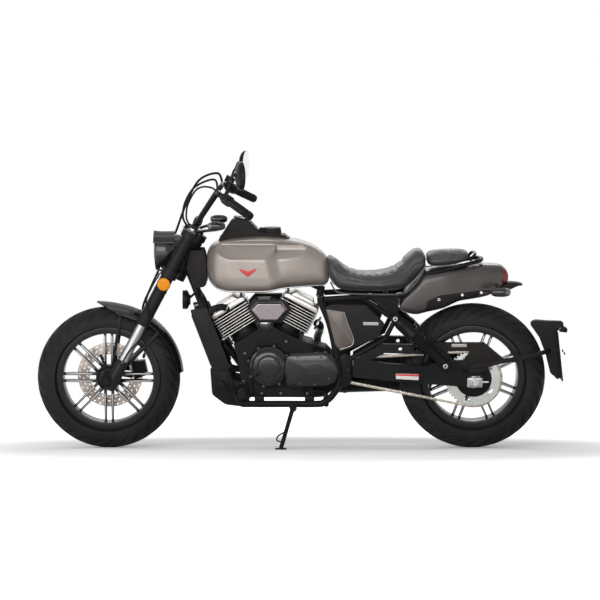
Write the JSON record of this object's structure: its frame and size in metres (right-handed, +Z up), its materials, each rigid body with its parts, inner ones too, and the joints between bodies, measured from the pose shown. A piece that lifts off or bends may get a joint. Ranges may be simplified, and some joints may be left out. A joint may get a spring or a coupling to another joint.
{
  "type": "cruiser motorcycle",
  "caption": "Cruiser motorcycle leaning on its side stand, with steering fork, turning wheels, folding stand and hinged fuel cap.",
  "frame": {"origin": "on the floor, under the centre of the machine's outline box", "axes": "+X forward along the machine, +Y to the rider's left, +Z up; the machine leans 9 degrees towards +Y"},
  "size_m": [2.2179, 0.8665, 1.2748],
  "materials": {
    "frame_paint": "satin charcoal paint",
    "engine_black": "satin black heat paint",
    "bright_alloy": "polished",
    "grey_alloy": "satin cast",
    "black_metal": "satin black",
    "dark_plastic": "moulded, fine grain",
    "gloss_black": "gloss black",
    "tank_paint": "matte warm grey",
    "cowl_paint": "metallic dark grey",
    "seat_leather": "stitched, satin",
    "lamp_plastic": "clear and coloured lens",
    "chain_steel": "oiled",
    "steel": "zinc plated",
    "grip_rubber": "matte",
    "tyre_rubber": "matte",
    "wheel_paint": "gloss black",
    "disc_steel": "ground"
  },
  "bodies": {
    "chassis": {"frame": "frame_paint", "subframe": "frame_paint", "engine_cases": "engine_black", "engine_covers": "engine_black", "cylinders": "engine_black", "rocker_covers": "bright_alloy", "air_cleaner": "grey_alloy", "radiator": "black_metal", "radiator_shroud": "dark_plastic", "horn": "black_metal", "fuel_tank": "tank_paint", "tank_console": "gloss_black", "rider_seat": "seat_leather", "pillion_seat": "seat_leather", "grab_rail": "black_metal", "tail_cowl": "cowl_paint", "rear_lamps": "lamp_plastic", "side_covers": "dark_plastic", "swingarm": "frame_paint", "chain_guard": "dark_plastic", "rear_shocks": "black_metal", "rear_mudguard": "dark_plastic", "plate_carrier": "dark_plastic", "drive_chain": "chain_steel", "exhaust": "black_metal", "foot_controls": "grey_alloy", "rear_brake": "grey_alloy", "rear_axle": "steel"},
    "steering": {"fork_tubes": "black_metal", "fork_sliders": "bright_alloy", "fork_yokes": "black_metal", "handlebar": "black_metal", "grips": "grip_rubber", "hand_controls": "black_metal", "headlight": "gloss_black", "front_fender": "gloss_black", "front_brake": "grey_alloy", "mirrors": "black_metal", "front_indicators": "lamp_plastic", "front_cables": "grip_rubber", "front_axle": "steel"},
    "front_wheel": {"front_tyre": "tyre_rubber", "front_rim": "wheel_paint", "front_disc": "disc_steel"},
    "rear_wheel": {"rear_tyre": "tyre_rubber", "rear_rim": "wheel_paint", "rear_disc": "disc_steel", "rear_sprocket": "steel"},
    "side_stand": {"side_stand": "black_metal"},
    "fuel_cap": {"fuel_cap": "black_metal"}
  },
  "joints": [
    {"name": "steering", "type": "hinge", "parent": "chassis", "child": "steering", "pos_m": [0.4779, -0.03472, 0.79729], "axis": [-0.4695, 0.1381, 0.8721], "range_deg": [-38, 38]},
    {"name": "front_wheel_spin", "type": "hinge", "parent": "steering", "child": "front_wheel", "pos_m": [0.8055, -0.11378, 0.29816], "axis": [0, 0.9877, -0.1564], "continuous": true},
    {"name": "rear_wheel_spin", "type": "hinge", "parent": "chassis", "child": "rear_wheel", "pos_m": [-0.7285, -0.11267, 0.30513], "axis": [0, 0.9877, -0.1564], "continuous": true},
    {"name": "side_stand_fold", "type": "hinge", "parent": "chassis", "child": "side_stand", "pos_m": [0.0275, 0.03128, 0.17204], "axis": [0.0751, 0.9152, 0.396], "range_deg": [0, 99]},
    {"name": "fuel_cap_open", "type": "hinge", "parent": "chassis", "child": "fuel_cap", "pos_m": [0.1625, -0.01536, 0.91954], "axis": [0, 0.9877, -0.1564], "range_deg": [0, 90]}
  ]
}
